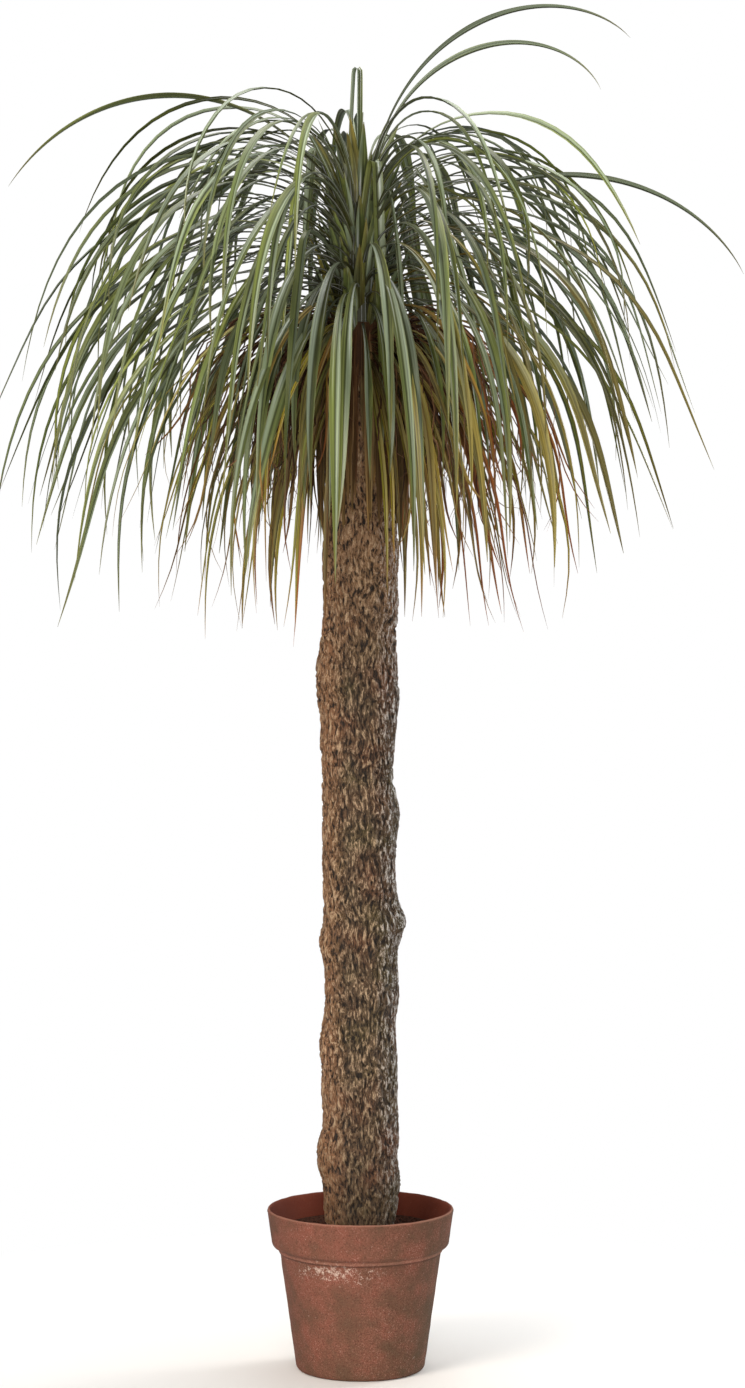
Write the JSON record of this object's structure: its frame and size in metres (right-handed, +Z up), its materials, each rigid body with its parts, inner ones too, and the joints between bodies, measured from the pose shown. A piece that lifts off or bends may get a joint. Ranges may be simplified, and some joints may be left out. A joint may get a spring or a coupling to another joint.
{
  "type": "potted ponytail palm",
  "caption": "Tall potted palm: a bark-covered trunk in a flower pot of soil, with a drooping head of long strap leaves and dry older leaves below.",
  "frame": {"origin": "centre of the pot's flat underside, on the surface that the pot stands on", "axes": "+Z up along the trunk; the side shown in the picture faces -Y, with +X to its right"},
  "size_m": [0.838, 0.7963, 1.5007],
  "materials": {
    "pot": "weathered unglazed terracotta, reddish brown with pale lime bloom",
    "soil": "dark peat potting mix with bark crumbs, matt",
    "bark": "furrowed corky bark, matt",
    "old_leaf": "dry papery leaf, ochre to orange brown",
    "green_leaf": "smooth leathery grey-green leaf with a soft sheen"
  },
  "bodies": {
    "root": {"pot": "pot", "soil": "soil", "trunk": "bark", "old_leaves": "old_leaf", "green_leaves": "green_leaf"}
  },
  "joints": []
}
